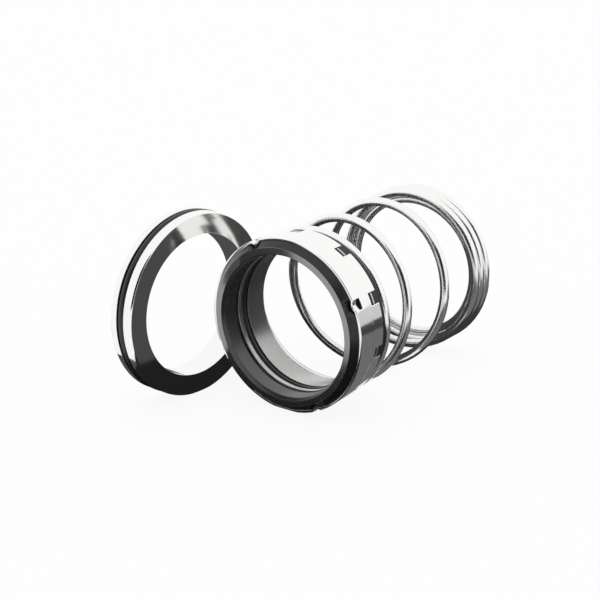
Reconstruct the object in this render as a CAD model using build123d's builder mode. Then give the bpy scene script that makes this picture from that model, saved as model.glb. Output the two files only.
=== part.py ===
from build123d import *
from math import cos, radians, sin
import os

# Mechanical face seal laid out as a set: the rotating head lies on its side and the
# stationary seat stands on its edge beside it. Millimetres, +Z up. The head's axis is Y,
# its sealing face looks along -Y and its spring runs towards +Y. Everything is drawn with
# y counted from the shell's front rim and moved at the end, so that the origin is in the
# middle of the thrust ring's bore. Clock angles are in degrees clockwise from the top,
# seen from the front.

# Shaft and fits
shaft_diameter = 54.0
shaft_clearance = 0.40       # thrust ring and backup ring over the shaft, on the radius
face_ring_clearance = 0.60   # face ring over the shaft, on the radius
o_ring_clearance = 0.30      # unloaded O-ring over the shaft; the spring's thrust closes it
seat_clearance = 0.70        # seat over the shaft, on the radius
slip = 0.10                  # assembly clearance between nested rings
stack_gap = 0.05             # between rings that the spring presses together

# Shaft O-ring and the gland round it
o_ring_cord = 3.4
gland_wall = 1.55

# Shell, a drawn steel cup without a floor
shell_wall = 1.10
shell_step_height = 0.45     # the rear band is this much smaller
rear_band_length = 6.6       # from the step to the rear edge
shell_corner = 0.95
notch_count = 10
notch_width = 4.6
notch_phase = 29.5
crimp_count = 4
crimp_width = 4.4            # the pressed stretch of the rim
crimp_flat = 1.8             # its innermost stretch
crimp_depth = 0.95
crimp_strap = 2.3            # front of the pierced slot behind a crimp
crimp_slot = 1.8             # its length along the shell
crimp_phase = 65.0
crimp_recess = 0.50          # a crimp's strap stands this far behind the rim
crimp_overlap = 0.40         # of the strap's ends with the sheet beside it
crimp_root = 0.20            # the ends lie this far under the sheet's skin

# Face ring
nose_height = 2.7            # the sealing face stands this far in front of the shell's rim
nose_bevel = 2.0             # from the shell's bore in to the sealing face
face_ring_rear = 6.7
nose_chamfer_width = 0.80    # inner edge of the sealing face, across
nose_chamfer_depth = 1.70    # and along the bore
rear_relief = 1.50           # 45 degree relief behind the face ring's bore

# Backup ring and thrust ring
backup_thickness = 2.1
backup_chamfer = 0.25
shoulder_proud = 3.2         # bare band of the thrust ring behind the shell
neck_length = 5.2            # the neck centres the spring's first turn
neck_clearance = 0.40
lug_setback = 0.65           # the lugs start just in front of the gland's side
lug_length = 3.3             # the lugs end level with the shell's rear edge
lug_gap = 1.3                # in front of each lug, inside its notch
lug_side_clearance = 0.20
lug_drop = 0.20              # lug top below the shell's rear band
thrust_chamfer = 0.90

# Coil spring, one round wire, left-hand
wire_diameter = 3.6
coil_drop = 0.35             # coil's outside below the shell's rear band
spring_seat_gap = 0.05       # between the thrust ring's shoulder and the ground end
front_ground = 0.35          # taken off the first turn by grinding
rear_ground = 1.5            # taken off the wire's tip at the other end
active_pitch = 26.6
closed_pitch = 3.8
dead_turns = 0.60            # flat stretch before the wire starts to climb
front_ramp = 1.0             # turns over which the pitch opens
rear_ramp = 0.3              # turns over which it closes again
rear_ramp_start = 2.77       # turns after the climb begins
climb_turns = 5.33           # from the start of the climb to the wire's tip
climb_start_angle = -18.0    # counterclockwise from three o'clock, seen from the front
samples_per_turn = 12

# Split drive ring inside the spring's last turns
drive_wire = 3.2
drive_ring_clearance = 0.10  # inside the coil
drive_ring_inset = 5.3       # from the spring's rear face to the ring's middle
drive_split = 6.0
drive_split_angle = 225.0

# Seat
seat_width = 8.15            # from its bore to its rim
seat_thickness = 10.9
seat_groove_at = 4.0
seat_groove_width = 3.7
seat_chamfer = 0.50
seat_ring_cord = 3.5
seat_ring_proud = 0.10
seat_ring_play = 0.02        # under the O-ring, at the floor of its groove
seat_gap = 3.35              # from the shell's side to the middle of the seat's face
seat_forward = 4.8           # the seat's axis passes this far in front of the rim
seat_turn = 5.0              # degrees, the face looks this much forward of straight +X

# Radii, worked outwards from the shaft
shaft_radius = shaft_diameter / 2
ring_bore = shaft_radius + shaft_clearance
face_ring_bore = shaft_radius + face_ring_clearance
o_ring_inner = shaft_radius + o_ring_clearance
o_ring_centre_radius = o_ring_inner + o_ring_cord / 2
gland_radius = o_ring_inner + o_ring_cord + slip
inner_radius = gland_radius + gland_wall
rear_bore = inner_radius + slip
rear_band_radius = rear_bore + shell_wall
shell_radius = rear_band_radius + shell_step_height
front_bore = shell_radius - shell_wall
face_ring_radius = front_bore - slip
nose_radius = face_ring_radius - nose_bevel
wire_radius = wire_diameter / 2
coil_radius = rear_band_radius - coil_drop - wire_radius
neck_radius = coil_radius - wire_radius - neck_clearance
seat_bore = shaft_radius + seat_clearance
seat_radius = seat_bore + seat_width
seat_floor_radius = seat_radius + seat_ring_proud
seat_groove_floor = seat_floor_radius - seat_ring_cord - seat_ring_play

# Stations along the shaft, from the shell's front rim
backup_front = face_ring_rear + stack_gap
backup_rear = backup_front + backup_thickness
gland_end = backup_rear + o_ring_cord + slip
lug_front = gland_end - lug_setback
notch_depth = lug_length + lug_gap
shell_length = lug_front + lug_length
shell_step_at = shell_length - rear_band_length
shoulder_end = shell_length + shoulder_proud
neck_end = shoulder_end + neck_length
spring_front = shoulder_end + spring_seat_gap
dead_station = spring_front + wire_radius - front_ground


def at_clock(angle, radius):
    """Point in the XZ plane at a clock angle."""
    return radius * sin(radians(angle)), radius * cos(radians(angle))


def clock_plane(angle, radius, y):
    """Plane on a cylinder's wall: its z looks outwards and its x runs to the rear."""
    x, z = at_clock(angle, 1.0)
    return Plane(origin=(radius * x, y, radius * z), x_dir=(0, 1, 0), z_dir=(x, 0, z))


def front_plane(angle, y):
    """Plane across the shaft: its y looks outwards at a clock angle and its z forwards."""
    x, z = at_clock(angle, 1.0)
    return Plane(origin=(0, y, 0), x_dir=(z, 0, -x), z_dir=(0, -1, 0))


# Shell: revolved sheet with a rounded front rim and a slightly smaller rear band
strap_end = crimp_width / 2 + crimp_overlap
strap_flat = crimp_flat / 2
strap_top = shell_radius - crimp_root
with BuildPart() as shell:
    with BuildSketch(Plane.XY):
        with BuildLine():
            Polyline(
                (front_bore, 0),
                (shell_radius, 0),
                (shell_radius, shell_step_at),
                (rear_band_radius, shell_step_at + shell_step_height),
                (rear_band_radius, shell_length),
                (rear_bore, shell_length),
                (rear_bore, shell_step_at + shell_step_height),
                (front_bore, shell_step_at),
                close=True,
            )
        make_face()
    revolve(axis=Axis.Y)
    rim = shell.edges().filter_by(GeomType.CIRCLE).group_by(Axis.Y)[0].sort_by(SortBy.RADIUS)[-1]
    fillet(rim, radius=shell_corner)
    # Open notches in the rear edge take the thrust ring's lugs
    for k in range(notch_count):
        angle = notch_phase + 360 / notch_count * k
        with BuildSketch(clock_plane(angle, rear_bore - 1, shell_length)):
            Rectangle(2 * notch_depth, notch_width)
        extrude(amount=shell_wall + 3, mode=Mode.SUBTRACT)
    # Crimps: behind each a slot is pierced, and the strap in front of it is pressed inwards
    for k in range(crimp_count):
        angle = crimp_phase + 360 / crimp_count * k
        with BuildSketch(clock_plane(angle, front_bore - 1, 0)):
            Rectangle(2 * (crimp_strap + crimp_slot), crimp_width)
        extrude(amount=shell_wall + 3, mode=Mode.SUBTRACT)
        with BuildSketch(front_plane(angle, crimp_strap)):
            with BuildLine():
                Polyline(
                    (-strap_end, strap_top),
                    (-strap_flat, shell_radius - crimp_depth),
                    (strap_flat, shell_radius - crimp_depth),
                    (strap_end, strap_top),
                    (strap_end, strap_top - shell_wall),
                    (strap_flat, shell_radius - crimp_depth - shell_wall),
                    (-strap_flat, shell_radius - crimp_depth - shell_wall),
                    (-strap_end, strap_top - shell_wall),
                    close=True,
                )
            make_face()
        extrude(amount=crimp_strap - crimp_recess)
shell.part.label = "shell"

# Face ring: lapped nose, outer bevel, pockets for the crimps
with BuildPart() as face_ring:
    with BuildSketch(Plane.XY):
        with BuildLine():
            Polyline(
                (face_ring_bore + nose_chamfer_width, -nose_height),
                (nose_radius, -nose_height),
                (face_ring_radius, 0),
                (face_ring_radius, face_ring_rear),
                (face_ring_bore + rear_relief, face_ring_rear),
                (face_ring_bore, face_ring_rear - rear_relief),
                (face_ring_bore, nose_chamfer_depth - nose_height),
                close=True,
            )
        make_face()
    revolve(axis=Axis.Y)
    for k in range(crimp_count):
        angle = crimp_phase + 360 / crimp_count * k
        with BuildSketch(front_plane(angle, crimp_strap + slip)):
            with BuildLine():
                Polyline(
                    (-strap_end - slip, shell_radius),
                    (-strap_end - slip, strap_top - shell_wall - slip),
                    (-strap_flat - slip, shell_radius - crimp_depth - shell_wall - slip),
                    (strap_flat + slip, shell_radius - crimp_depth - shell_wall - slip),
                    (strap_end + slip, strap_top - shell_wall - slip),
                    (strap_end + slip, shell_radius),
                    close=True,
                )
            make_face()
        extrude(amount=crimp_strap + slip + nose_height + 1, mode=Mode.SUBTRACT)
face_ring.part.label = "face_ring"

# Backup ring between the face ring and the O-ring
with BuildPart() as backup_ring:
    with BuildSketch(Plane.XY):
        with Locations(((ring_bore + inner_radius) / 2, (backup_front + backup_rear) / 2)):
            Rectangle(inner_radius - ring_bore, backup_thickness)
    revolve(axis=Axis.Y)
    edges = backup_ring.edges().filter_by(GeomType.CIRCLE).filter_by(
        lambda e: abs(e.radius - ring_bore) < 0.01
    )
    chamfer(edges, length=backup_chamfer)
backup_ring.part.label = "backup_ring"

# Shaft O-ring
with BuildPart() as shaft_o_ring:
    with BuildSketch(Plane.XY):
        with Locations((o_ring_centre_radius, backup_rear + slip / 2 + o_ring_cord / 2)):
            Circle(o_ring_cord / 2)
    revolve(axis=Axis.Y)
shaft_o_ring.part.label = "shaft_o_ring"

# Thrust ring: O-ring gland, shoulder for the spring, neck and drive lugs
with BuildPart() as thrust_ring:
    with BuildSketch(Plane.XY):
        with BuildLine():
            Polyline(
                (gland_radius, backup_rear + stack_gap),
                (inner_radius, backup_rear + stack_gap),
                (inner_radius, shoulder_end),
                (neck_radius, shoulder_end),
                (neck_radius, neck_end),
                (ring_bore, neck_end),
                (ring_bore, gland_end),
                (gland_radius, gland_end),
                close=True,
            )
        make_face()
    revolve(axis=Axis.Y)
    bore_edges = thrust_ring.edges().filter_by(GeomType.CIRCLE).filter_by(
        lambda e: abs(e.radius - ring_bore) < 0.01
    )
    chamfer(bore_edges.sort_by(Axis.Y)[-1], length=thrust_chamfer)
    for k in range(notch_count):
        angle = notch_phase + 360 / notch_count * k
        with BuildSketch(clock_plane(angle, inner_radius - 1, shell_length - lug_length / 2)):
            Rectangle(lug_length, notch_width - 2 * lug_side_clearance)
        extrude(amount=rear_band_radius - lug_drop - inner_radius + 1)
thrust_ring.part.label = "thrust_ring"


def opened(turns, length):
    """Turns climbed so far where the pitch opens evenly over a length."""
    if turns <= 0:
        return 0.0
    if turns < length:
        return turns * turns / (2 * length)
    return turns - length / 2


def spring_station(turns):
    """Axial place of the wire's centre, counted from the start of its climb."""
    tail = opened(turns - rear_ramp_start, rear_ramp)
    return dead_station + active_pitch * (opened(turns, front_ramp) - tail) + closed_pitch * tail


def spring_point(turns):
    angle = radians(climb_start_angle + 360 * turns)
    return (coil_radius * cos(angle), spring_station(turns), coil_radius * sin(angle))


spring_rear = spring_station(climb_turns) + wire_radius - rear_ground

# Coil spring: a flat first half turn, three open turns, closed turns, both ends ground
with BuildPart() as coil_spring:
    steps = round((dead_turns + climb_turns) * samples_per_turn)
    step = (dead_turns + climb_turns) / steps
    with BuildLine() as wire_path:
        Spline(*[spring_point(-dead_turns + step * k) for k in range(steps + 1)])
    with BuildSketch(Plane(origin=wire_path.line @ 0, z_dir=wire_path.line % 0)):
        Circle(wire_radius)
    sweep(path=wire_path.line, is_frenet=True)
    with BuildSketch(Plane(origin=(0, spring_front, 0), z_dir=(0, -1, 0))):
        Circle(coil_radius + wire_diameter)
    extrude(amount=wire_diameter, mode=Mode.SUBTRACT)
    with BuildSketch(Plane(origin=(0, spring_rear, 0), z_dir=(0, 1, 0))):
        Circle(coil_radius + wire_diameter)
    extrude(amount=wire_diameter, mode=Mode.SUBTRACT)
coil_spring.part.label = "coil_spring"

# Split drive ring: round wire that grips the shaft inside the spring's last turns
drive_radius = coil_radius - wire_radius - drive_ring_clearance - drive_wire / 2
drive_station = spring_rear - drive_ring_inset
with BuildPart() as split_drive_ring:
    with BuildSketch(Plane.XY):
        with Locations((drive_radius, drive_station)):
            Circle(drive_wire / 2)
    revolve(axis=Axis.Y)
    with BuildSketch(clock_plane(drive_split_angle, 0, drive_station)):
        Rectangle(2 * drive_wire, drive_split)
    extrude(amount=coil_radius, mode=Mode.SUBTRACT)
split_drive_ring.part.label = "split_drive_ring"

# The seat's own frame: x radial, y along its axis away from the face
seat_rear_dir = (-cos(radians(seat_turn)), sin(radians(seat_turn)), 0)
seat_centre = (-shell_radius - seat_gap, -seat_forward, seat_floor_radius - shell_radius)
seat_plane = Plane(origin=seat_centre, x_dir=(0, 0, 1), z_dir=(-seat_rear_dir[1], seat_rear_dir[0], 0))
seat_axis = Axis(seat_centre, seat_rear_dir)

# Seat: lapped front face, O-ring groove in the rim
with BuildPart() as seat_ring:
    with BuildSketch(seat_plane):
        with BuildLine():
            Polyline(
                (seat_bore, 0),
                (seat_radius, 0),
                (seat_radius, seat_groove_at),
                (seat_groove_floor, seat_groove_at),
                (seat_groove_floor, seat_groove_at + seat_groove_width),
                (seat_radius, seat_groove_at + seat_groove_width),
                (seat_radius, seat_thickness),
                (seat_bore, seat_thickness),
                close=True,
            )
        make_face()
    revolve(axis=seat_axis)
    rim_edges = seat_ring.edges().filter_by(GeomType.CIRCLE).filter_by(
        lambda e: abs(e.radius - seat_radius) < 0.01
    )
    ends = rim_edges.sort_by(seat_axis)
    chamfer([ends[0], ends[-1]], length=seat_chamfer)
seat_ring.part.label = "seat_ring"

# Seat O-ring
with BuildPart() as seat_o_ring:
    with BuildSketch(seat_plane):
        with Locations(
            (seat_floor_radius - seat_ring_cord / 2, seat_groove_at + seat_groove_width / 2)
        ):
            Circle(seat_ring_cord / 2)
    revolve(axis=seat_axis)
seat_o_ring.part.label = "seat_o_ring"

# Everything moves so that the origin is in the middle of the thrust ring's bore
origin_station = (gland_end + neck_end - thrust_chamfer) / 2

os.makedirs("parts", exist_ok=True)
for node in (
    seat_ring,
    seat_o_ring,
    face_ring,
    shell,
    backup_ring,
    shaft_o_ring,
    thrust_ring,
    coil_spring,
    split_drive_ring,
):
    placed = node.part.moved(Location((0, -origin_station, 0)))
    placed.label = node.part.label
    export_step(placed, f"parts/{placed.label}.step")
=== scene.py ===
# %% [markdown]
# # A mechanical face seal, laid out as a set
# The CAD model fixes every size and place. This notebook dresses it: each ring is modelled
# again with enough faces for a clean outline, each gets the finish its maker gives it, and
# the set is lit like a catalogue picture. Everything is in metres; helpers take millimetres.

# %% Load the CAD model
import bpy
from math import atan2, cos, degrees, pi, radians, sin, tan
from mathutils import Matrix, Vector


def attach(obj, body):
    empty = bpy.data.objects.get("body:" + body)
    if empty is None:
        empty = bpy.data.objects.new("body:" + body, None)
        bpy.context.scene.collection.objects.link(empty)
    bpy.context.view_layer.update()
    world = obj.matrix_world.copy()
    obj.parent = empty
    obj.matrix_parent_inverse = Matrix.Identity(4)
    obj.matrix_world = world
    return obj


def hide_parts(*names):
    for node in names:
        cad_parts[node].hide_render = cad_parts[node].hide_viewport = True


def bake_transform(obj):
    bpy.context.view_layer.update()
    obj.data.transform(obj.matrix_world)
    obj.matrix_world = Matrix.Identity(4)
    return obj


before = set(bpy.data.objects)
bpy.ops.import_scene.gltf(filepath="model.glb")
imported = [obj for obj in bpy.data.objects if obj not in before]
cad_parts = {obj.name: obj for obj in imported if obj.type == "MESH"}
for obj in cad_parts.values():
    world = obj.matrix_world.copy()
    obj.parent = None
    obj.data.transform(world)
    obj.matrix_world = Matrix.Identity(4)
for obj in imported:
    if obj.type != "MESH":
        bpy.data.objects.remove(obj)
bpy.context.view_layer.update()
MM = 0.001
print("nodes:", sorted(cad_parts))

# %% [markdown]
# The record keeps the origin in the middle of the thrust ring's bore, but a fitter measures
# this seal from the front rim of its shell. `STATION` is the step between the two, so that
# a station below always means millimetres behind the rim.

# %% Sizes shared by the pieces
STATION = 17.425                       # from the shell's rim to the origin
FLOOR = -34.0                          # the table, below the shaft axis
RIM, REAR_BAND, SHEET = 34.0, 33.55, 1.10        # the shell's radii outside, and its sheet
STEP_AT, STEP_RUN, SHELL_END = 8.4, 0.45, 15.0   # where the radius drops, how fast, the rear edge
NOTCHES, NOTCH_PHASE = 10, 29.5                  # how many, and the clock angle of the first
NOTCH_HALF, NOTCH_DEPTH = 4, 4.6                 # half a notch's width in degrees, its depth
CRIMPS, CRIMP_PHASE = 4, 65.0                    # as for the notches
SEAT_TURN, SEAT_FACE = 5.0, (-37.35, -22.225, 1.95)   # in degrees, and its face's middle
HEAD, TAIL = "head_and_seat", "spring_tail"      # the record's two bodies
BY_DEGREE = {"columns": 360, "turn": 0.5}        # a column for each degree, centred on it
SAME_PLACE = 1e-7                                # in metres: corners nearer than this are one
MARGIN = 0.1                                     # how far a test by place reaches past a loop


def clock(x, z):
    """Clock angle in degrees, clockwise from the top as the sealing face is seen."""
    return degrees(atan2(x, z)) % 360


def off_clock(angle, centre):
    """How far an angle lies from a centre, between -180 and 180."""
    return (angle - centre + 180) % 360 - 180


# %% [markdown]
# ## A ring, the way a lathe makes it
# Every ring here is a section turned round an axis. A modifier such as Screw could do it, but
# I add a circle and extrude it from corner to corner of the section, as a turner follows the
# drawing: each corner is one line, and the faces stay clean quads, which bevels like.

# %% Turned rings
def only(piece):
    """Select one object and make it active."""
    bpy.ops.object.select_all(action="DESELECT")
    piece.select_set(True)
    bpy.context.view_layer.objects.active = piece


def turned_ring(name, section, columns=256, turn=0.0, closed=True):
    """Turn a section, given as (station, radius) corners in mm, round the shaft axis."""
    bpy.ops.object.select_all(action="DESELECT")
    station, radius = section[0]
    bpy.ops.mesh.primitive_circle_add(
        vertices=columns, radius=radius * MM, location=(0, (station - STATION) * MM, 0),
        rotation=(pi / 2, 0, 0),
    )
    ring = bpy.context.object
    ring.name = name
    bpy.ops.object.transform_apply(location=True, rotation=True, scale=True)
    bpy.ops.object.mode_set(mode="EDIT")
    bpy.ops.mesh.select_all(action="SELECT")
    corners = section[1:] + (section[:1] if closed else [])
    for next_station, next_radius in corners:
        step = (0, (next_station - station) * MM, 0)
        bpy.ops.mesh.extrude_edges_move(TRANSFORM_OT_translate={"value": step})
        grow = next_radius / radius
        bpy.ops.transform.resize(value=(grow, 1, grow), center_override=(0, 0, 0))
        station, radius = next_station, next_radius
    bpy.ops.mesh.select_all(action="SELECT")
    if closed:
        bpy.ops.mesh.remove_doubles(threshold=SAME_PLACE)
    bpy.ops.mesh.normals_make_consistent(inside=False)
    bpy.ops.transform.rotate(value=radians(turn), orient_axis="Y", center_override=(0, 0, 0))
    bpy.ops.object.mode_set(mode="OBJECT")
    return ring


# %% [markdown]
# A turned ring has no truly sharp edge: each is broken with a file or a deburring tool. The
# Bevel modifier does the same. Weighted normals then let each wide face shade as flat as it
# is, so that only the narrow bevel bends the light.

# %% Broken edges
SMOOTH_UP_TO, ROUND_UP_TO = 50, 35     # degrees between faces, on turned and on round pieces
FACE_WEIGHT = 80                       # how strongly wide faces rule the shading


def bevel_edges(piece, width, segments=3, angle=30):
    """Break the sharp edges and let the wide faces keep their shading."""
    only(piece)
    edge = piece.modifiers.new("broken edges", "BEVEL")
    edge.width = width * MM
    edge.segments = segments
    edge.limit_method = "ANGLE"
    edge.angle_limit = radians(angle)
    edge.use_clamp_overlap = True
    bpy.ops.object.modifier_apply(modifier=edge.name)
    bpy.ops.object.shade_smooth_by_angle(angle=radians(SMOOTH_UP_TO))
    flat = piece.modifiers.new("true faces", "WEIGHTED_NORMAL")
    flat.keep_sharp = True
    flat.weight = FACE_WEIGHT
    bpy.ops.object.modifier_apply(modifier=flat.name)


# %% [markdown]
# Every finished piece rides on one of the CAD model's bodies and takes the place of its
# plain CAD node.

# %% Finish and hand over a piece
def coat(piece, *finishes):
    """Give a piece its materials, the main one first."""
    for finish in finishes:
        piece.data.materials.append(finish)


def ready(piece, body, slot, *nodes):
    """Attach the piece to the body it rides on and hide the nodes it stands for. The slot is not
    used.
    """
    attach(piece, body)
    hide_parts(*nodes)
    triangles = sum(len(face.vertices) - 2 for face in piece.data.polygons)
    print(piece.name, "triangles:", triangles)


# %% [markdown]
# Notches, crimps and lugs sit at clock angles round the shaft, so faces and corners are
# picked in code by their station, clock angle and radius, as one would box-select them.

# %% Picking by place
def pick(piece, mode, wanted):
    """Select in edit mode the faces or corners whose middle passes a test."""
    only(piece)
    bpy.ops.object.mode_set(mode="EDIT")
    bpy.ops.mesh.select_mode(type=mode)
    bpy.ops.mesh.select_all(action="DESELECT")
    bpy.ops.object.mode_set(mode="OBJECT")
    items = piece.data.polygons if mode == "FACE" else piece.data.vertices
    for item in items:
        place = item.center if mode == "FACE" else item.co
        radius = Vector((place.x, place.z)).length / MM
        item.select = wanted(place.y / MM + STATION, clock(place.x, place.z), radius)
    bpy.ops.object.mode_set(mode="EDIT")


def near(angle, count, phase, reach):
    """Whether a clock angle is within reach of one of several evenly spaced places."""
    return any(abs(off_clock(angle, phase + 360 / count * k)) < reach for k in range(count))


def cut_away(piece, wanted):
    """Delete the faces whose middle passes a test."""
    pick(piece, "FACE", wanted)
    bpy.ops.mesh.delete(type="FACE")
    bpy.ops.object.mode_set(mode="OBJECT")


def push_in(piece, front, rear, inner, steps):
    """Press in every crimp: each step is half a width in degrees and a push in mm."""
    for k in range(CRIMPS):
        centre = CRIMP_PHASE + 360 / CRIMPS * k
        for half_width, depth in steps:
            pick(piece, "VERT", lambda a, angle, r: front <= a <= rear and r > inner
                 and abs(off_clock(angle, centre)) < half_width)
            inwards = (-depth * MM * sin(radians(centre)), 0, -depth * MM * cos(radians(centre)))
            bpy.ops.transform.translate(value=inwards)
            bpy.ops.object.mode_set(mode="OBJECT")


# %% [markdown]
# ## Finishes
# Colours are written as the hex values a paint chart would give, and one function turns them
# to the linear values Cycles wants. One more function adds a node with its settings and
# links, and one starts a material from the Principled shader.

# %% Colours and nodes
def linear(code):
    """An sRGB hex colour as linear RGBA."""
    channels = [int(code[i:i + 2], 16) / 255 for i in (1, 3, 5)]
    return [c / 12.92 if c <= 0.04045 else ((c + 0.055) / 1.055) ** 2.4 for c in channels] + [1.0]


def add_node(material, kind, links=(), **settings):
    """Add a node, set its sockets and settings by name and link (source, output, input)."""
    made = material.node_tree.nodes.new(kind)
    for key, value in settings.items():
        socket = key.replace("_", " ")
        if socket in made.inputs:
            made.inputs[socket].default_value = value
        else:
            setattr(made, key, value)
    for source, output, target in links:
        material.node_tree.links.new(source.outputs[output], made.inputs[target])
    return made


def new_material(name, **surface):
    """A material with one Principled shader, whose plain sockets are given by name."""
    material = bpy.data.materials.new(name)
    material.use_nodes = True
    shader = material.node_tree.nodes["Principled BSDF"]
    for key, value in surface.items():
        shader.inputs[key.replace("_", " ")].default_value = value
    return material, shader


# %% [markdown]
# Nothing made by hand or machine shines evenly. Polish wanders a little over a few
# millimetres, and a noise texture on Object coordinates gives that drift to the roughness.

# %% Patches
def patchy(material, shader, size, low, high):
    """Let the roughness drift over the surface in soft patches of about a size in mm."""
    place = add_node(material, "ShaderNodeTexCoord")
    cloud = add_node(
        material, "ShaderNodeTexNoise", [(place, "Object", "Vector")],
        Scale=1 / (size * MM), Detail=3.0,
    )
    drift = add_node(
        material, "ShaderNodeMapRange", [(cloud, "Fac", "Value")],
        From_Min=0.3, From_Max=0.7, To_Min=low, To_Max=high,
    )
    material.node_tree.links.new(drift.outputs["Result"], shader.inputs["Roughness"])


# %% [markdown]
# A lathe or a grinding wheel leaves rings round the axis. Radius plus place along the axis
# is one number that changes on the rim, in the bore and on a flat face alike, so a noise in
# one dimension on that number draws the rings on all of them.

# %% Tool lines
def tool_lines(material, shader, spacing, depth, turn=0.0, centre=(0, 0, 0)):
    """Fine rings left by a tool that turned or rubbed the piece, as bump round an axis."""
    place = add_node(material, "ShaderNodeTexCoord")
    centred = add_node(
        material, "ShaderNodeMapping", [(place, "Object", "Vector")], vector_type="TEXTURE",
        Location=[c * MM for c in centre], Rotation=(0, 0, radians(turn)),
    )
    split = add_node(material, "ShaderNodeSeparateXYZ", [(centred, "Vector", "Vector")])
    flat = add_node(material, "ShaderNodeCombineXYZ", [(split, "X", "X"), (split, "Z", "Y")])
    radius = add_node(material, "ShaderNodeVectorMath", [(flat, "Vector", 0)], operation="LENGTH")
    ring = add_node(
        material, "ShaderNodeMath", [(radius, "Value", 0), (split, "Y", 1)], operation="ADD",
    )
    lines = add_node(
        material, "ShaderNodeTexNoise", [(ring, "Value", "W")], noise_dimensions="1D",
        Scale=1 / (spacing * MM), Detail=2.0,
    )
    bump = add_node(
        material, "ShaderNodeBump", [(lines, "Fac", "Height")], Strength=1.0, Distance=depth * MM,
    )
    material.node_tree.links.new(bump.outputs["Normal"], shader.inputs["Normal"])


# %% [markdown]
# The shell is cold-drawn stainless sheet, tumbled and polished: almost a mirror, so it shows
# the white room as pure white. Faint draw lines run round it. The wire is drawn through a
# die, which burnishes it along its length: bright too, but a little softer than the sheet.

# %% Polished stainless sheet and wire
stainless, shader = new_material(
    "polished_stainless_sheet", Metallic=1.0, Base_Color=linear("#F8F8F7"),
)
patchy(stainless, shader, size=9.0, low=0.09, high=0.14)
tool_lines(stainless, shader, spacing=0.6, depth=0.0006)

wire, shader = new_material("bright_drawn_wire", Metallic=1.0, Base_Color=linear("#F7F7F6"))
patchy(wire, shader, size=14.0, low=0.17, high=0.22)

# %% [markdown]
# The seat is a hard alloy ring. Its rim and bore are ground, which leaves fine rings round
# them. Its face is lapped until it is flat to a fraction of a wavelength, so it mirrors the
# head beside it: the pale cone and the streak on it are the shell and a crimp, seen again.
# No pattern is drawn there, only a slight unevenness of the polish.

# %% Seat alloy, ground and lapped
seat_place = {"turn": 90 - SEAT_TURN, "centre": SEAT_FACE}
ground, shader = new_material("ground_seat_alloy", Metallic=1.0, Base_Color=linear("#F7F7F6"))
patchy(ground, shader, size=11.0, low=0.07, high=0.13)
tool_lines(ground, shader, spacing=0.35, depth=0.0008, **seat_place)

lapped, shader = new_material("lapped_seat_face", Metallic=1.0, Base_Color=linear("#F0F0EE"))
patchy(lapped, shader, size=7.0, low=0.10, high=0.16)

# %% [markdown]
# The backup ring and thrust ring are turned steel. The feed of a fine cut is near 0.1 mm,
# too close to show here, so the rings are drawn 0.6 mm apart and very shallow: they only
# soften what the bore mirrors.

# %% Fine turned steel
turned, shader = new_material("fine_turned_steel", Metallic=1.0, Base_Color=linear("#C8C8C6"))
patchy(turned, shader, size=16.0, low=0.24, high=0.28)
tool_lines(turned, shader, spacing=0.60, depth=0.0003)

# %% [markdown]
# Outside, the thrust ring's steel is painted dark: painted shade for the notches and the band
# behind the shell, which lie in shade between the parts. Only the front of each lug is left
# bright steel, so it shows as a bright line.

# %% Painted shade on turned steel
# painted shade: a dark steel standing in for the shade in the notches and behind the shell
painted_shade_steel, shader = new_material(
    "steel_painted_shade", Metallic=0.6, Base_Color=linear("#2C2C2D"),
)
patchy(painted_shade_steel, shader, size=5.0, low=0.28, high=0.40)

# %% [markdown]
# Resin-filled carbon is black graphite. The lapped front mirrors like dark glass, because
# graphite's index is about 3. The bore is only honed, and what is left as turned is a soft
# black that hardly shines.

# %% Carbon, lapped and as turned
lapped_carbon, shader = new_material(
    "lapped_carbon_graphite", Base_Color=linear("#232324"), IOR=3.2,
)
patchy(lapped_carbon, shader, size=6.0, low=0.14, high=0.20)

honed_carbon, shader = new_material(
    "honed_carbon_graphite", Base_Color=linear("#1C1C1D"), IOR=2.0,
)
patchy(honed_carbon, shader, size=9.0, low=0.26, high=0.34)

carbon, shader = new_material("turned_carbon_graphite", Base_Color=linear("#141415"), IOR=1.5)
patchy(carbon, shader, size=6.0, low=0.24, high=0.34)
tool_lines(carbon, shader, spacing=0.45, depth=0.004)

# %% [markdown]
# The O-rings are nitrile rubber filled with soot, moulded in a smooth steel mould: a deep
# black with a soft sheen, duller where it has been handled.

# %% Moulded nitrile rubber
rubber, shader = new_material("moulded_nitrile_rubber", Base_Color=linear("#121212"), IOR=1.52)
patchy(rubber, shader, size=3.0, low=0.28, high=0.42)

# %% [markdown]
# ## The seat
# A thick ring of hard alloy, ground outside and lapped in front, with a groove for its
# O-ring. It stands on its edge, turned a few degrees from the head's side. It is turned
# round the shaft axis first, where the section is easy to write, and then moved.

# %% Seat ring
def stand_beside_head(piece):
    """Move a ring made round the shaft axis to the seat's place."""
    turn = Matrix.Rotation(radians(90 - SEAT_TURN), 4, "Z")
    to_face = Matrix.Translation([c * MM for c in SEAT_FACE])
    piece.matrix_world = to_face @ turn @ Matrix.Translation((0, STATION * MM, 0))
    only(piece)
    bpy.ops.object.transform_apply(location=True, rotation=True, scale=True)


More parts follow.
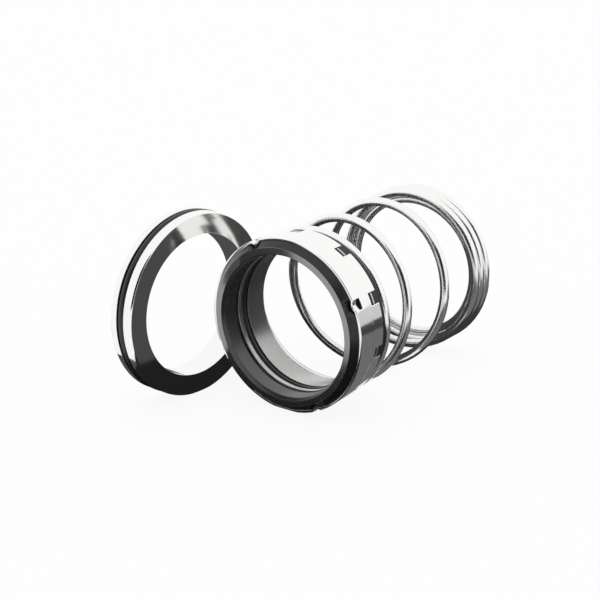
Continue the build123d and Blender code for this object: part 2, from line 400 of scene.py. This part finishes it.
SEAT_BORE, SEAT_RIM, SEAT_CHAMFER, SEAT_BACK = 27.7, 35.85, 0.5, 10.9
GROOVE_FRONT, GROOVE_BACK, GROOVE_FLOOR = 4.0, 7.7, 32.43
seat = turned_ring("seat_ring_lapped", [
    (0, SEAT_BORE), (0, SEAT_RIM - SEAT_CHAMFER), (SEAT_CHAMFER, SEAT_RIM),
    (GROOVE_FRONT, SEAT_RIM), (GROOVE_FRONT, GROOVE_FLOOR), (GROOVE_BACK, GROOVE_FLOOR),
    (GROOVE_BACK, SEAT_RIM), (SEAT_BACK - SEAT_CHAMFER, SEAT_RIM),
    (SEAT_BACK, SEAT_RIM - SEAT_CHAMFER), (SEAT_BACK, SEAT_BORE),
])
bevel_edges(seat, width=0.12)
coat(seat, ground, lapped)
for face in seat.data.polygons:
    if face.normal.y < -0.99:          # the flat front, without its broken edges
        face.material_index = 1
stand_beside_head(seat)
ready(seat, HEAD, "seat_alloy", "seat_ring")

# %% [markdown]
# ## O-rings
# An O-ring comes out of a two-part mould that closes on its middle plane, so a hair of flash
# is trimmed round it, inside and outside. I start from a torus, pick the two loops on that
# plane and scale them out by a few hundredths of a millimetre.

# %% Rings of round section
def round_ring(name, station, centre_radius, thickness):
    """A ring of round section round the shaft axis."""
    bpy.ops.object.select_all(action="DESELECT")
    bpy.ops.mesh.primitive_torus_add(
        major_segments=192, minor_segments=32, major_radius=centre_radius * MM,
        minor_radius=thickness / 2 * MM, location=(0, (station - STATION) * MM, 0),
        rotation=(pi / 2, 0, 0),
    )
    ring = bpy.context.object
    ring.name = name
    bpy.ops.object.transform_apply(location=True, rotation=True, scale=True)
    return ring


FLASH = 0.03                           # how far the trimmed parting line stands out
ON_LOOP = 0.01                         # how near a corner lies to the loop it belongs to


def o_ring(name, station, centre_radius, cord):
    """A moulded O-ring with the thin parting line its mould leaves."""
    ring = round_ring(name, station, centre_radius, cord)
    for side in (-1, 1):
        loop_radius = centre_radius + side * cord / 2
        pick(ring, "VERT", lambda a, angle, r: abs(a - station) < ON_LOOP
             and abs(r - loop_radius) < ON_LOOP)
        stretch = 1 + side * FLASH / loop_radius
        bpy.ops.transform.resize(value=(stretch, 1, stretch), center_override=(0, 0, 0))
        bpy.ops.object.mode_set(mode="OBJECT")
    bpy.ops.object.shade_smooth_by_angle(angle=radians(ROUND_UP_TO))
    return ring


# %% [markdown]
# The seat's O-ring stands a tenth of a millimetre out of its groove. It seals the seat in
# the pump's cover, and here the seat rests on it.

# %% Seat O-ring
SEAT_CORD, SEAT_SEAL_RIM = 3.5, 35.95
seat_seal = o_ring(
    "seat_o_ring_moulded", (GROOVE_FRONT + GROOVE_BACK) / 2,
    SEAT_SEAL_RIM - SEAT_CORD / 2, SEAT_CORD,
)
stand_beside_head(seat_seal)
coat(seat_seal, rubber)
ready(seat_seal, HEAD, "black_rubber", "seat_o_ring")

# %% [markdown]
# ## The shell
# A drawn cup of thin sheet. I model its outer skin first and give it thickness at the end,
# as sheet metal has. Cutting a notch is then only a matter of deleting faces, and pressing a
# crimp is a push on the strap of sheet in front of its slot.

# %% Shell's skin
STRAP, SLOT_END = 2.3, 4.1             # a crimp's strap, and the far side of its pierced slot
STEP_CURVE = [(-0.35, 0.0), (-0.05, 0.06), (0.15, 0.17)]   # the step's rounded shoulder
shell = turned_ring("shell_drawn", [
    (0, RIM), (STRAP, RIM), (SLOT_END, RIM),
    *((STEP_AT + along, RIM - drop) for along, drop in STEP_CURVE),
    (STEP_AT + STEP_RUN, REAR_BAND), (SHELL_END - NOTCH_DEPTH, REAR_BAND), (SHELL_END, REAR_BAND),
], closed=False, **BY_DEGREE)

# %% [markdown]
# Ten notches are open to the rear edge, and four slots are pierced near the rim. The strap in
# front of each slot is then pressed in, most of all in its middle.

# %% Notches, slots and crimps
SLOT_HALF = 3.5                        # half a slot's width in degrees
CRIMP_STEPS = [(3.2, 0.25), (2.2, 0.45), (1.2, 0.25)]
cut_away(shell, lambda a, angle, r: a > SHELL_END - NOTCH_DEPTH
         and near(angle, NOTCHES, NOTCH_PHASE, NOTCH_HALF))
cut_away(shell, lambda a, angle, r: STRAP < a < SLOT_END
         and near(angle, CRIMPS, CRIMP_PHASE, SLOT_HALF))
push_in(shell, -MARGIN, STRAP + MARGIN, 0, CRIMP_STEPS)
print("crimps are pressed in by", sum(push for _, push in CRIMP_STEPS), "mm")

# %% [markdown]
# Solidify gives the skin its 1.1 mm, inwards, with the same thickness round every corner.
# That crowds the inner loops at the step, so those are merged.

# %% Thickness of the sheet
CROWDED = 0.08                         # loops nearer than this are one
only(shell)
sheet = shell.modifiers.new("sheet", "SOLIDIFY")
sheet.thickness = SHEET * MM
sheet.offset = -1
sheet.use_even_offset = True
bpy.ops.object.modifier_apply(modifier=sheet.name)
bpy.ops.object.mode_set(mode="EDIT")
bpy.ops.mesh.select_all(action="SELECT")
bpy.ops.mesh.remove_doubles(threshold=CROWDED * MM)
bpy.ops.object.mode_set(mode="OBJECT")

# %% [markdown]
# The front edge outside is rounded, as a drawn cup's corner is: that round is the thin
# bright line along the rim. The Bevel operator makes it on the picked loop alone, and every
# other edge is only broken. A crimp is pressed in by less than the sheet is thick, so every
# corner of the loop outside lies further out than any of the loop inside.

# %% Shell's corner
CORNER_RADIUS = 0.35
OUTSIDE = RIM - SHEET + 0.07           # between the loop inside and a crimp's deepest place
pick(shell, "VERT", lambda a, angle, r: a < ON_LOOP and r > OUTSIDE)
bpy.ops.mesh.bevel(offset=CORNER_RADIUS * MM, segments=4, affect="EDGES")
bpy.ops.object.mode_set(mode="OBJECT")
bevel_edges(shell, width=0.12, segments=2, angle=40)
coat(shell, stainless)
ready(shell, HEAD, "stainless_sheet", "shell")

# %% [markdown]
# ## The face ring
# Black carbon, machined to a raised nose whose narrow front is lapped flat. Dents in its
# bevel take the four crimps of the shell, so the shell turns it without gripping it. The
# front is lapped and the bore honed, the rest stays as turned.

# %% Face ring
CARBON_BORE, CARBON_RIM, CARBON_REAR = 27.6, 32.8, 6.7
NOSE, NOSE_RIM = -2.7, 30.8            # the nose stands out in front of the shell's rim
NOSE_CHAMFER, NOSE_CHAMFER_RUN, REAR_CHAMFER = 0.8, 1.7, 1.5
DENT_FRONT, DENT_END = NOSE / 2, 2.6   # the loops between which a dent is pressed in
DENT_FADE = 3.2                        # the loop by which it has faded out
DENT_STOP = 31.0                       # corners nearer to the shaft are pushed no further
DENT_STEPS = [(5.2, 0.35), (4.2, 0.55), (3.2, 0.55)]
face_ring = turned_ring("face_ring_carbon", [
    (NOSE, CARBON_BORE + NOSE_CHAMFER), (NOSE, NOSE_RIM),
    (DENT_FRONT, (NOSE_RIM + CARBON_RIM) / 2), (0.0, CARBON_RIM),
    (DENT_END, CARBON_RIM), (DENT_FADE, CARBON_RIM), (CARBON_REAR, CARBON_RIM),
    (CARBON_REAR, CARBON_BORE + REAR_CHAMFER), (CARBON_REAR - REAR_CHAMFER, CARBON_BORE),
    (NOSE + NOSE_CHAMFER_RUN, CARBON_BORE),
], **BY_DEGREE)
push_in(face_ring, DENT_FRONT - MARGIN, DENT_END + MARGIN, DENT_STOP, DENT_STEPS)
bevel_edges(face_ring, width=0.10, segments=2, angle=25)
coat(face_ring, carbon, lapped_carbon, honed_carbon)
for face in face_ring.data.polygons:
    outwards = face.normal.x * face.center.x + face.normal.z * face.center.z
    if face.normal.y < -0.95:          # the flat front
        face.material_index = 1
    elif outwards < 0:                 # the bore and its chamfers
        face.material_index = 2
ready(face_ring, HEAD, "carbon", "face_ring")

# %% [markdown]
# ## Inside the shell
# Behind the carbon lie a plain backup ring, the shaft O-ring and the thrust ring. The backup
# ring is a flat washer that keeps the O-ring from being pressed into the gap in front.

# %% Backup ring
BORE, INNER = 27.4, 32.35              # round the shaft, and inside the shell's sheet
BACKUP_FRONT, BACKUP_REAR = 6.75, 8.85
backup = turned_ring("backup_ring_turned", [
    (BACKUP_FRONT, BORE), (BACKUP_FRONT, INNER), (BACKUP_REAR, INNER), (BACKUP_REAR, BORE),
])
bevel_edges(backup, width=0.22)
coat(backup, turned)
ready(backup, HEAD, "turned_steel", "backup_ring")

# %% [markdown]
# The shaft O-ring stands a tenth of a millimetre out of its neighbours' bores.

# %% Shaft O-ring
SHAFT_CORD, SHAFT_SEAL_BORE, SHAFT_SEAL_AT = 3.4, 27.3, 10.6
shaft_seal = o_ring(
    "shaft_o_ring_moulded", SHAFT_SEAL_AT, SHAFT_SEAL_BORE + SHAFT_CORD / 2, SHAFT_CORD,
)
coat(shaft_seal, rubber)
ready(shaft_seal, HEAD, "black_rubber", "shaft_o_ring")

# %% [markdown]
# The thrust ring is the carrier: the O-ring sits in its gland, the spring sits on its neck,
# and ten lugs reach out through the shell's notches to turn it. I turn it first, with a loop
# wherever a lug or the bright front left unpainted on it will start or end.

# %% Thrust ring
GLAND, GLAND_FRONT, GLAND_END = 30.8, 8.9, 12.35
LUG_FRONT, LUG_BRIGHT = 11.7, 0.9        # where the lugs start, and how far their front is left bright, without painted shade
SHOULDER, NECK, NECK_END, NECK_CHAMFER = 18.2, 29.2, 23.4, 0.9
thrust = turned_ring("thrust_ring_turned", [
    (GLAND_FRONT, GLAND), (GLAND_FRONT, INNER), (LUG_FRONT, INNER),
    (LUG_FRONT + LUG_BRIGHT, INNER), (SHELL_END, INNER), (SHOULDER, INNER),
    (SHOULDER, NECK), (NECK_END, NECK), (NECK_END, BORE + NECK_CHAMFER),
    (NECK_END - NECK_CHAMFER, BORE), (GLAND_END, BORE), (GLAND_END, GLAND),
], **BY_DEGREE)

# %% [markdown]
# A lug is raised from the faces under each notch. They are inset first, so that the lug
# clears the sheet on both sides, then extruded and scaled outwards from the shaft.

# %% Lugs
LUG_TOP, LUG_CLEARANCE = 33.35, 0.2
pick(thrust, "FACE", lambda a, angle, r: LUG_FRONT < a < SHELL_END and r > GLAND
     and near(angle, NOTCHES, NOTCH_PHASE, NOTCH_HALF))
bpy.ops.mesh.inset(thickness=LUG_CLEARANCE * MM)
bpy.ops.mesh.extrude_region_move(TRANSFORM_OT_translate={"value": (0, 0, 0)})
grow = LUG_TOP / INNER
bpy.ops.transform.resize(value=(grow, 1, grow), center_override=(0, 0, 0))
bpy.ops.object.mode_set(mode="OBJECT")
bevel_edges(thrust, width=0.12, segments=2)

# %% [markdown]
# The bore, the neck and the ends are turned steel. Everything outside, up to the shoulder,
# is painted dark as painted shade, apart from the front of each lug, which is left bright.

# %% Painted shade outside, bright lug fronts
BRIGHT_TO, BRIGHT_ABOVE = LUG_FRONT + LUG_BRIGHT - 0.05, INNER + 0.3   # a lug's foot stays dark
# painted shade: outward faces in front of the shoulder get the dark steel, all but the lugs'
# fronts
coat(thrust, turned, painted_shade_steel)
for face in thrust.data.polygons:
    middle = face.center
    station = middle.y / MM + STATION
    left_bright = station <= BRIGHT_TO and Vector((middle.x, middle.z)).length / MM > BRIGHT_ABOVE
    outwards = face.normal.x * middle.x + face.normal.z * middle.z
    if outwards > 0 and station < SHOULDER and not left_bright:
        face.material_index = 1
ready(thrust, HEAD, "turned_steel", "thrust_ring")

# %% [markdown]
# ## The spring
# One round wire, wound left-handed: a flat first turn, three open turns and a closed tail
# whose tip thins out, because both ends are ground square. The pitch opens evenly over one
# turn and closes again over a good quarter of one, so the path has no kink.

# %% The coil's path
COIL, WIRE = 31.4, 1.8                 # mean radius of the coil, radius of the wire
FRONT_TURNS, CLIMB = 0.60, 5.33        # flat turns in front, and turns from there to the tip
PITCH, CLOSED = 26.6, 3.8              # rise of an open turn and of a closed one
OPENING, CLOSING = 1.0, 0.3            # how many turns each change of pitch takes
CLOSING_AT = 2.77                      # after how many turns the second one starts
SPRING_FRONT = 18.25                   # the ground end on the thrust ring's shoulder
FRONT_GROUND, REAR_GROUND = 0.35, 1.5  # what grinding takes off the wire at each end


def opened(turns, length):
    """Turns climbed so far, where the pitch opens evenly over a length."""
    if turns <= 0:
        return 0.0
    return turns * turns / (2 * length) if turns < length else turns - length / 2


def wire_station(turns):
    """Where the wire's centre is, behind the shell's rim."""
    tail = opened(turns - CLOSING_AT, CLOSING)
    climb = PITCH * (opened(turns, OPENING) - tail) + CLOSED * tail
    return SPRING_FRONT + WIRE - FRONT_GROUND + climb


SPRING_REAR = wire_station(CLIMB) + WIRE - REAR_GROUND
print("spring runs from", SPRING_FRONT, "to", round(SPRING_REAR, 2))

# %% [markdown]
# I draw the wire's section once and carry it along the coil, a few degrees at a time: each
# step is one extrusion along the shaft and one turn round it.

# %% Wind the wire
START = -18.0                          # of the climb, counterclockwise from three o'clock
WIRE_SIDES, PER_TURN = 24, 64
bpy.ops.object.select_all(action="DESELECT")
bpy.ops.mesh.primitive_circle_add(
    vertices=WIRE_SIDES, radius=WIRE * MM, location=(COIL * MM, 0, 0),
)
spring = bpy.context.object
spring.name = "coil_spring_wound"
bpy.ops.object.transform_apply(location=True, rotation=True, scale=True)
bpy.ops.object.mode_set(mode="EDIT")
bpy.ops.mesh.select_all(action="SELECT")
steps = round((FRONT_TURNS + CLIMB) * PER_TURN)
step = (FRONT_TURNS + CLIMB) / steps
bpy.ops.transform.translate(value=(0, (wire_station(-FRONT_TURNS) - STATION) * MM, 0))
bpy.ops.transform.rotate(
    value=radians(START - 360 * FRONT_TURNS), orient_axis="Y", center_override=(0, 0, 0),
)
for k in range(steps):
    rise = wire_station(-FRONT_TURNS + step * (k + 1)) - wire_station(-FRONT_TURNS + step * k)
    bpy.ops.mesh.extrude_edges_move(TRANSFORM_OT_translate={"value": (0, rise * MM, 0)})
    bpy.ops.transform.rotate(
        value=radians(360 * step), orient_axis="Y", center_override=(0, 0, 0),
    )

# %% [markdown]
# Both ends of the wire are capped. Then the coil is bisected where the grinding wheel cut it
# square, at its front and at its rear.

# %% Grind both ends
bpy.ops.mesh.select_mode(type="EDGE")
bpy.ops.mesh.select_all(action="DESELECT")
bpy.ops.mesh.select_non_manifold()
bpy.ops.mesh.edge_face_add()
bpy.ops.mesh.select_all(action="SELECT")
bpy.ops.mesh.normals_make_consistent(inside=False)
for place, side in ((SPRING_FRONT, -1), (SPRING_REAR, 1)):
    bpy.ops.mesh.select_all(action="SELECT")
    bpy.ops.mesh.bisect(
        plane_co=(0, (place - STATION) * MM, 0), plane_no=(0, side, 0),
        use_fill=True, clear_outer=True, threshold=SAME_PLACE,
    )
bpy.ops.object.mode_set(mode="OBJECT")
only(spring)
bpy.ops.object.shade_smooth_by_angle(angle=radians(ROUND_UP_TO))
coat(spring, wire)
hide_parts("coil_spring")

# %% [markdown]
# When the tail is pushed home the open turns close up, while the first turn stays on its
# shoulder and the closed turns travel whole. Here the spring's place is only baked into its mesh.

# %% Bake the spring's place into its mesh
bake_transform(spring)

# %% [markdown]
# ## The split drive ring
# A ring of the same kind of wire sits inside the closed turns and grips the shaft. It is cut
# once, so that it can be sprung open: I delete a few degrees of a torus and cap both ends.

# %% Split drive ring
DRIVE_WIRE, DRIVE_RADIUS = 3.2, 27.9
DRIVE_INSET = 5.3                      # its middle, in front of the spring's rear end
SPLIT_AT, SPLIT_HALF = 225.0, 6        # clock angle of the cut, and half its width in degrees
drive = round_ring("split_drive_ring_wire", SPRING_REAR - DRIVE_INSET, DRIVE_RADIUS, DRIVE_WIRE)
pick(drive, "FACE", lambda a, angle, r: abs(off_clock(angle, SPLIT_AT)) < SPLIT_HALF)
bpy.ops.mesh.delete(type="FACE")
bpy.ops.mesh.select_mode(type="EDGE")
bpy.ops.mesh.select_non_manifold()
bpy.ops.mesh.edge_face_add()
bpy.ops.object.mode_set(mode="OBJECT")
bevel_edges(drive, width=0.25, segments=2, angle=60)
coat(drive, wire)
ready(drive, TAIL, "spring_wire", "split_drive_ring")

# %% [markdown]
# ## The picture
# A long lens stands to the front right, looking a little down. The set is small, so its
# polished faces mostly show what stands round it: a white room, a dark screen on the
# camera's side and dark cards on a white table.

# %% Camera
LOOK_AT = Vector((4.335, -14.255, 10.278)) * MM
EYE = LOOK_AT + Vector((351.0, -480.0, 212.2)) * MM
camera_data = bpy.data.cameras.new("camera")
camera_data.lens = 102.7               # in millimetres, as is the sensor
camera_data.sensor_width = 36.0
camera_data.clip_start = 0.01
camera = bpy.data.objects.new("camera", camera_data)
bpy.context.collection.objects.link(camera)
camera.location = EYE
camera.rotation_euler = (LOOK_AT - EYE).to_track_quat("-Z", "Y").to_euler()
bpy.context.scene.camera = camera

# %% [markdown]
# The table is white. Light Path lets it glow where the camera or a mirror looks at it, so
# the background stays white without more light on the seal. The rest of it is a matt
# surface that keeps the seal's soft shadow.

# %% Table material
GLOW_SHARE = 0.90                      # how much of what is seen of the table is glow


def table_material(name, seen, lit):
    """White where it is looked at or mirrored, and a plain surface to the lamps."""
    material = bpy.data.materials.new(name)
    material.use_nodes = True
    material.node_tree.nodes.clear()
    path = add_node(material, "ShaderNodeLightPath")
    glow = add_node(material, "ShaderNodeEmission", Strength=1.0, Color=linear(seen))
    matt = add_node(material, "ShaderNodeBsdfDiffuse", Color=linear(lit))
    either = add_node(
        material, "ShaderNodeMath", [(path, "Is Camera Ray", 0), (path, "Is Glossy Ray", 1)],
        operation="MAXIMUM",
    )
    any_ray = add_node(
        material, "ShaderNodeMath", [(either, "Value", 0), (path, "Is Transmission Ray", 1)],
        operation="MAXIMUM",
    )
    share = add_node(material, "ShaderNodeMath", [(any_ray, "Value", 0)], operation="MULTIPLY")
    share.inputs[1].default_value = GLOW_SHARE
    mixed = add_node(
        material, "ShaderNodeMixShader",
        [(share, "Value", "Fac"), (matt, "BSDF", 1), (glow, "Emission", 2)],
    )
    add_node(material, "ShaderNodeOutputMaterial", [(mixed, "Shader", "Surface")])
    material.cycles.emission_sampling = "NONE"
    return material


# %% [markdown]
# The table reaches far past the picture on all sides, and the colours are shown as they are,
# without a film curve.

# %% White table
scene = bpy.context.scene
scene.view_settings.view_transform = "Standard"
TABLE_SIZE = 6.0                       # in metres
bpy.ops.object.select_all(action="DESELECT")
bpy.ops.mesh.primitive_plane_add(size=TABLE_SIZE, location=(0, 0, FLOOR * MM))
floor = bpy.context.object
floor.name = "floor"
coat(floor, table_material("white_table", seen="#FFFFFF", lit="#F4F4F4"))

# %% [markdown]
# A polished ring is seen through what it mirrors. Photographers stand black cards just out
# of the picture for that. Here some lie on the table, two stand close to the rings, and a
# dark screen curves round behind the camera. They are seen only in reflections, so they
# take no light from the set.

# %% Cards
def card(name, colour):
    """Finish the active plane as a card that only polished surfaces see."""
    piece = bpy.context.object
    piece.name = name
    material = bpy.data.materials.new(name)
    material.use_nodes = True
    material.node_tree.nodes.clear()
    glow = add_node(material, "ShaderNodeEmission", Strength=1.0, Color=linear(colour))
    add_node(material, "ShaderNodeOutputMaterial", [(glow, "Emission", "Surface")])
    material.cycles.emission_sampling = "NONE"
    coat(piece, material)
    piece.visible_camera = False
    piece.visible_diffuse = False
    piece.visible_shadow = False
    piece.visible_transmission = False


def flat_card(name, colour, corners):
    """A flat card with four corners in mm, named in order round it."""
    bpy.ops.object.select_all(action="DESELECT")
    bpy.ops.mesh.primitive_plane_add(size=1.0)
    order = (0, 1, 3, 2)               # a new plane numbers its corners row by row
    for index, corner in zip(order, corners):
        bpy.context.object.data.vertices[index].co = Vector(corner) * MM
    card(name, colour)


def table_card(name, colour, lift, corners):
    """A card on the table, raised a little so that the cards can overlap."""
    flat_card(name, colour, [(x, y, FLOOR + lift) for x, y in corners])


# %% [markdown]
# A screen is a plane bent round the set, 1.2 m away. Bearings are counted from the camera's,
# so that a screen stays where it is needed when the camera moves.

# %% Screens
CAMERA_SIDE = degrees(atan2(EYE.y - LOOK_AT.y, EYE.x - LOOK_AT.x))
SCREEN_DISTANCE = 1.2                  # in metres


def screen(name, colour, first, last, low, high):
    """An upright curved screen: bearings counted from the camera's, heights as elevations."""
    bpy.ops.object.select_all(action="DESELECT")
    bpy.ops.mesh.primitive_plane_add(size=1.0)
    bpy.ops.object.mode_set(mode="EDIT")
    bpy.ops.mesh.select_all(action="SELECT")
    bpy.ops.mesh.subdivide(number_cuts=15)
    bpy.ops.object.mode_set(mode="OBJECT")
    bottom, top = (SCREEN_DISTANCE * tan(radians(angle)) for angle in (low, high))
    for corner in bpy.context.object.data.vertices:
        bearing = radians(CAMERA_SIDE + first + (last - first) * (corner.co.x + 0.5))
        height = bottom + (top - bottom) * (corner.co.y + 0.5)
        corner.co = (SCREEN_DISTANCE * cos(bearing), SCREEN_DISTANCE * sin(bearing), height)
    card(name, colour)


# %% [markdown]
# The cards in front and to the right make the black streaks on rings and wire. The pale one
# behind shades the far sides, the strip inside the spring darkens the turns' inner flanks,
# and the card by the seat is what the left part of its lapped face mirrors.

# %% Where the cards stand
table_card("dark_card_in_front", "#202020", 0.5, [(-62, -70), (10, -80), (14, 32), (-50, 32)])
table_card("dark_card_under_spring", "#363636", 0.5, [(-50, 32), (30, 32), (85, 150), (-50, 150)])
table_card("dark_card_right_front", "#202020", 0.4, [(5, -95), (150, -95), (120, -15), (18, -10)])
table_card("grey_card_left", "#4C4C4C", 0.4, [(-150, -60), (-60, -60), (-20, 150), (-150, 150)])
table_card("grey_card_beside_set", "#6C6C6C", 0.2, [(5, -30), (160, -30), (160, 150), (75, 150)])
table_card("dark_card_right_rear", "#404040", 0.3, [(95, 110), (260, 60), (300, 260), (60, 260)])
table_card(
    "pale_card_right_rear", "#CCCCCC", 0.1, [(200, 60), (1400, 60), (1400, 1800), (20, 1800)],
)
flat_card(
    "dark_strip_in_spring", "#404040", [(12, 12, -28), (12, 72, -28), (12, 72, 6), (12, 12, 6)],
)
flat_card(
    "dark_card_by_seat", "#4A4A4A",
    [(-20, -54, -23), (-20, -21, -23), (-20, -21, 26), (-20, -54, 26)],
)
screen("dark_screen_camera_side", "#1C1C1C", -44, 30, -1.6, 44)
screen("pale_screen_right_rear", "#CCCCCC", 96, 114, -1.7, 6)

# %% [markdown]
# The room itself is plain white all round, and it is the only lamp.

# %% White room
world = bpy.data.worlds.new("white_room")
scene.world = world
world.use_nodes = True
sky = world.node_tree.nodes["Background"]
sky.inputs["Color"].default_value = (1, 1, 1, 1)
sky.inputs["Strength"].default_value = 1.0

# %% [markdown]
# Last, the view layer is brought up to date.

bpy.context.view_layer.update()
